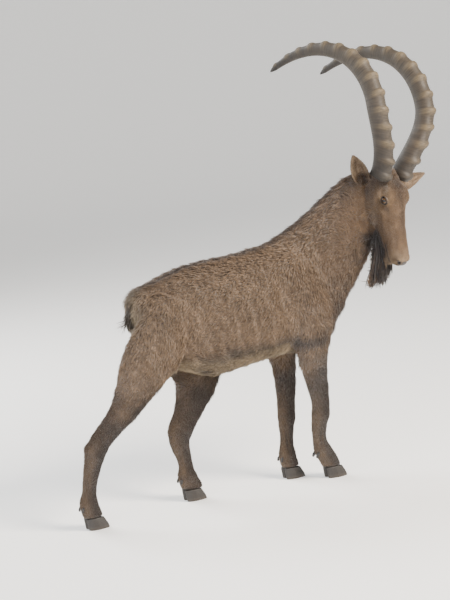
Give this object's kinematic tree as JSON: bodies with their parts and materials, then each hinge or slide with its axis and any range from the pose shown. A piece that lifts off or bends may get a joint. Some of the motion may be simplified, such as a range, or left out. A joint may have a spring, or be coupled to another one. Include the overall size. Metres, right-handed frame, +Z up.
{
  "type": "alpine ibex",
  "caption": "Life-size standing alpine ibex buck with head turned to its right, long back-swept ridged horns, chin beard, short coat and cloven hooves, as a still display model.",
  "frame": {"origin": "on the floor under the middle of the animal's bounding box", "axes": "+Z up, +X the way the animal walks, +Y its left side"},
  "size_m": [1.5244, 0.615, 1.6203],
  "materials": {
    "coat": "short dense matt hair, grey-brown",
    "leg_coat": "short flat matt hair, dark brown",
    "horn_sheath": "dull weathered keratin with cross ridges",
    "hoof_horn": "dull dark keratin",
    "eye": "wet gloss"
  },
  "bodies": {
    "root": {"torso": "coat", "neck": "coat", "head": "coat", "tail": "coat", "ear_left": "coat", "ear_right": "coat", "eye_left": "eye", "eye_right": "eye", "horn_left": "horn_sheath", "horn_right": "horn_sheath", "leg_fore_left_upper": "leg_coat", "leg_fore_left_lower": "leg_coat", "toe_fore_left_a": "hoof_horn", "dewclaw_fore_left_a": "hoof_horn", "toe_fore_left_b": "hoof_horn", "dewclaw_fore_left_b": "hoof_horn", "leg_fore_right_upper": "leg_coat", "leg_fore_right_lower": "leg_coat", "toe_fore_right_a": "hoof_horn", "dewclaw_fore_right_a": "hoof_horn", "toe_fore_right_b": "hoof_horn", "dewclaw_fore_right_b": "hoof_horn", "leg_hind_left_upper": "leg_coat", "leg_hind_left_lower": "leg_coat", "toe_hind_left_a": "hoof_horn", "dewclaw_hind_left_a": "hoof_horn", "toe_hind_left_b": "hoof_horn", "dewclaw_hind_left_b": "hoof_horn", "leg_hind_right_upper": "leg_coat", "leg_hind_right_lower": "leg_coat", "toe_hind_right_a": "hoof_horn", "dewclaw_hind_right_a": "hoof_horn", "toe_hind_right_b": "hoof_horn", "dewclaw_hind_right_b": "hoof_horn"}
  },
  "joints": []
}
